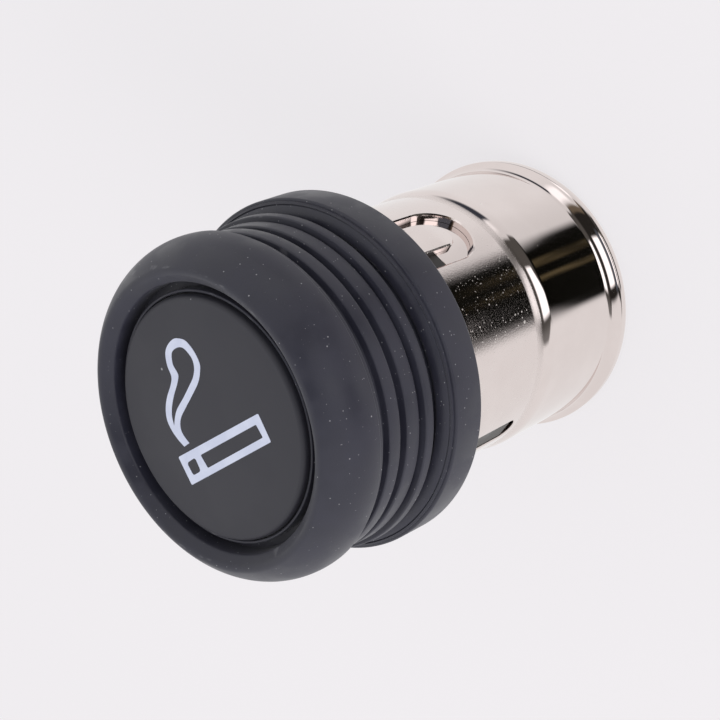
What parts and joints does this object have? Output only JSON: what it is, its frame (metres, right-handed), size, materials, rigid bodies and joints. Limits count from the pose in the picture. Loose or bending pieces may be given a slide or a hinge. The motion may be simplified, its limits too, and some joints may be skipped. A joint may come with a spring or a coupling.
{
  "type": "car cigarette lighter",
  "caption": "Pop-out car lighter: a ribbed black push knob on a stamped nickel sleeve with spring tongues, return spring, and a heating coil in the open end.",
  "frame": {"origin": "centre of the flat that the sleeve's rolled rim stands on", "axes": "+Z along the push axis, from the rim up to the knob"},
  "size_m": [0.0246, 0.0246, 0.0343],
  "materials": {
    "nickel": "bright nickel plate",
    "soft_black": "matte soft-touch moulding",
    "cap_black": "fine matte moulding",
    "bush_black": "smooth black moulding",
    "hub_black": "heat-proof moulding",
    "fibre": "pressed fibre",
    "spring_steel": "drawn spring wire",
    "brass": "turned brass",
    "zinc_steel": "zinc-plated steel",
    "heater_steel": "heat-tinted stainless steel",
    "mica": "amber sheet with a low sheen",
    "ceramic": "unglazed white ceramic",
    "coil_alloy": "oxidised resistance ribbon"
  },
  "bodies": {
    "sleeve": {"outer_sleeve": "nickel", "spring_cup": "nickel", "guide_bush": "bush_black", "fibre_washer": "fibre", "pop_spring": "spring_steel"},
    "knob": {"knob_grip": "soft_black", "knob_cap": "cap_black", "knob_hub": "hub_black", "hub_insert": "brass", "stud": "zinc_steel", "spacer_tube": "zinc_steel", "hub_nut": "zinc_steel", "lock_washer": "spring_steel", "spring_seat": "zinc_steel", "stop_washer": "zinc_steel", "upper_mica": "mica", "heater_cup": "heater_steel", "lower_mica": "mica", "ceramic_insulator": "ceramic", "clamp_washer": "zinc_steel", "heating_coil": "coil_alloy"}
  },
  "joints": [
    {"name": "knob_push", "type": "slide", "parent": "sleeve", "child": "knob", "axis": [0, 0, -1], "range_m": [0, 0.004], "stiffness_N_per_m": 600, "springref_m": -0.006, "deforming": ["pop_spring"]}
  ]
}
